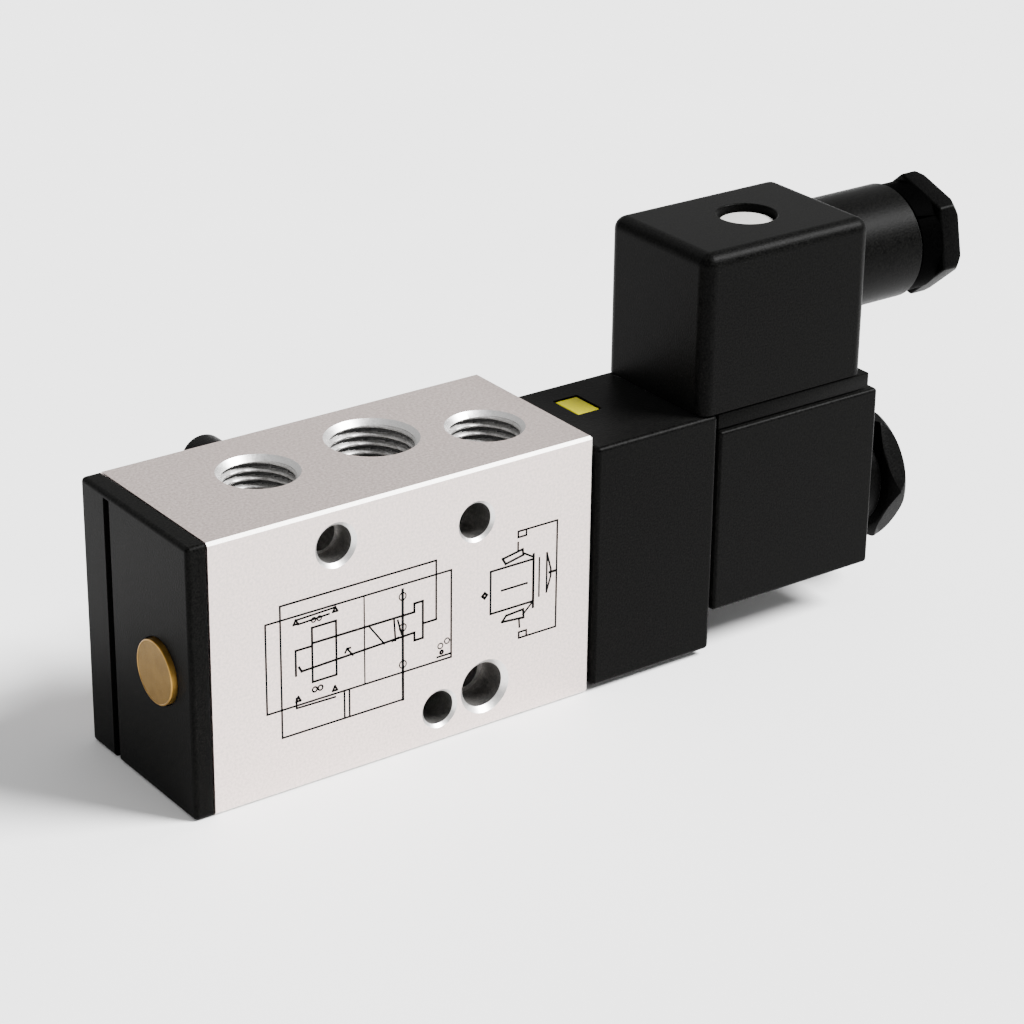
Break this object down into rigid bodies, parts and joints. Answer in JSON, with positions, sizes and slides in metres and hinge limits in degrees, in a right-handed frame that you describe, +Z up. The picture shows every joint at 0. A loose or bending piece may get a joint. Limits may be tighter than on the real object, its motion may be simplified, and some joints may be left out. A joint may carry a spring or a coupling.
{
  "type": "solenoid directional valve",
  "caption": "Aluminium block valve with threaded top ports and flange ports at its back, and a black pilot block, coil and plug connector with a cable gland at one end.",
  "frame": {"origin": "centre of the valve body's underside", "axes": "+X along the spool from the end cap to the cable gland, +Y out of the back flange face, +Z up out of the threaded ports"},
  "size_m": [0.1359, 0.0365, 0.0624],
  "materials": {
    "aluminium": "satin, fine blasted",
    "spool_aluminium": "turned",
    "cap_plastic": "fine grained",
    "black_plastic": "fine grained",
    "insert_plastic": "matt",
    "white_plastic": "satin",
    "yellow_plastic": "satin",
    "rubber": "matt",
    "brass": "satin",
    "steel": "turned",
    "winding_copper": "enamelled wire"
  },
  "bodies": {
    "housing": {"valve_body": "aluminium", "end_cap": "cap_plastic", "pilot_block": "black_plastic", "coil_housing": "black_plastic", "plug_housing": "black_plastic", "coil_nut": "black_plastic", "coil_washer": "black_plastic", "gland_nut": "black_plastic", "locating_stud": "black_plastic", "terminal_block": "insert_plastic", "coil_bobbin": "insert_plastic", "screw_cover": "white_plastic", "end_cap_gasket": "rubber", "pilot_gasket": "rubber", "plug_gasket": "rubber", "flange_seal_1": "rubber", "flange_seal_2": "rubber", "tube_seal": "rubber", "gland_seal": "rubber", "pilot_nozzle": "brass", "spring_seat": "steel", "pilot_screw_1": "steel", "pilot_screw_2": "steel", "armature_tube": "steel", "tube_retainer": "steel", "fixed_core": "steel", "magnet_frame": "steel", "coil_blade_1": "steel", "coil_blade_2": "steel", "earth_blade": "steel", "plug_screw": "steel", "gland_washer": "steel", "clamp_screw_1": "steel", "clamp_screw_2": "steel", "clamp_screw_3": "steel", "coil_winding": "winding_copper"},
    "spool_line": {"spool": "spool_aluminium", "pilot_piston": "brass", "piston_seal": "rubber", "indicator_pin": "brass", "return_spring": "steel", "spool_seal_1": "rubber", "spool_seal_2": "rubber", "spool_seal_3": "rubber", "spool_seal_4": "rubber", "spool_seal_5": "rubber", "spool_seal_6": "rubber"},
    "armature_line": {"armature": "steel", "armature_seal": "rubber", "armature_spring": "steel"},
    "override_button": {"manual_override": "yellow_plastic", "override_seal": "rubber", "override_spring": "steel"}
  },
  "joints": [
    {"name": "spool_slide", "type": "slide", "parent": "housing", "child": "spool_line", "axis": [-1, 0, 0], "range_m": [0, 0.003], "stiffness_N_per_m": 1200, "springref_m": -0.004, "deforming": ["return_spring"]},
    {"name": "armature_slide", "type": "slide", "parent": "housing", "child": "armature_line", "axis": [1, 0, 0], "range_m": [0, 0.0012], "stiffness_N_per_m": 300, "springref_m": -0.003, "deforming": ["armature_spring"]},
    {"name": "override_press", "type": "slide", "parent": "housing", "child": "override_button", "axis": [0, 0, -1], "range_m": [0, 0.0015], "stiffness_N_per_m": 400, "springref_m": -0.002, "deforming": ["override_spring"]}
  ]
}
